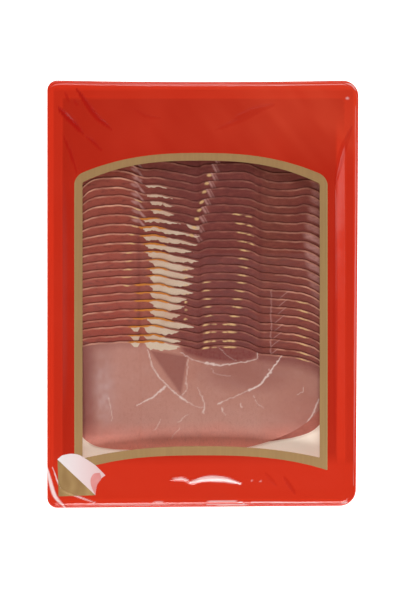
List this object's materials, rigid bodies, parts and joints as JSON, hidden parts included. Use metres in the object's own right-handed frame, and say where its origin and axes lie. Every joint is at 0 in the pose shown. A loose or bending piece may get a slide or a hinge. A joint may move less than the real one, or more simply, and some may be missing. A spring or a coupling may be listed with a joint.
{
  "type": "pack of sliced ham",
  "caption": "Flat sealed tray pack of shingled raw ham slices under a printed lidding film with a large clear window, lying window up.",
  "frame": {"origin": "middle of the pack, on the underside of the tray", "axes": "+Z out of the window side, +Y along the length towards the end where the row of slices starts, +X to the right seen from above"},
  "size_m": [0.1819, 0.25, 0.014],
  "materials": {
    "tray": "thermoformed off-white sheet, satin",
    "ham": null,
    "film": "glossy printed lidding film, red field with a gold frame round a clear window"
  },
  "bodies": {
    "root": {"tray": "tray", "slice_01": "ham", "slice_02": "ham", "slice_03": "ham", "slice_04": "ham", "slice_05": "ham", "slice_06": "ham", "slice_07": "ham", "slice_08": "ham", "slice_09": "ham", "slice_10": "ham", "slice_11": "ham", "slice_12": "ham", "slice_13": "ham", "slice_14": "ham", "slice_15": "ham", "slice_16": "ham", "slice_17": "ham", "slice_18": "ham", "slice_19": "ham", "slice_20": "ham", "slice_21": "ham", "slice_22": "ham", "slice_23": "ham", "slice_24": "ham", "slice_25": "ham", "lid_film": "film"}
  },
  "joints": []
}
